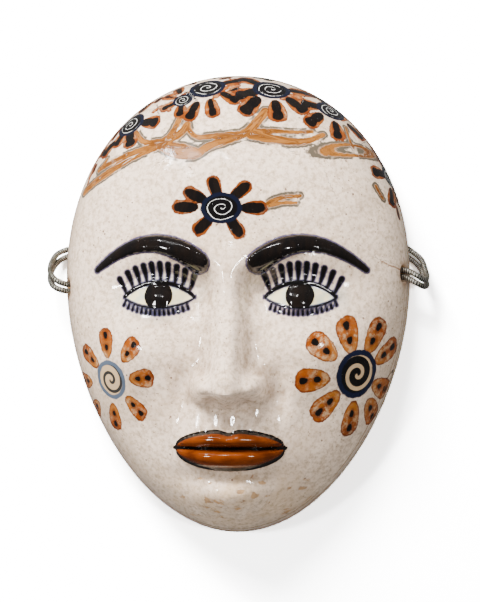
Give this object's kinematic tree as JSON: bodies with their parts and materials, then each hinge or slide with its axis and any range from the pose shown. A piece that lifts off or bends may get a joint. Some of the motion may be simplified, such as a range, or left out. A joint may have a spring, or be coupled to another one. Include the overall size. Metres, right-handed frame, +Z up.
{
  "type": "ceramic wall mask",
  "caption": "Hollow glazed ceramic face mask with painted flowers, brows and lips, hung on the wall by a doubled wrapped cord knotted inside its temples.",
  "frame": {"origin": "on the wall plane, at the middle of the hook that carries the cord", "axes": "+Z up, the face looks along -Y away from the wall, +X to the viewer's right"},
  "size_m": [0.1922, 0.0753, 0.23],
  "materials": {
    "glazed_clay": "white tin glaze, glossy, painted with black, cobalt, burnt orange and ochre",
    "wrapped_cord": "silver grey metallic thread wound on a soft core"
  },
  "bodies": {
    "root": {"mask_shell": "glazed_clay", "upper_cord": "wrapped_cord", "lower_cord": "wrapped_cord", "left_knot": "wrapped_cord", "right_knot": "wrapped_cord"}
  },
  "joints": []
}
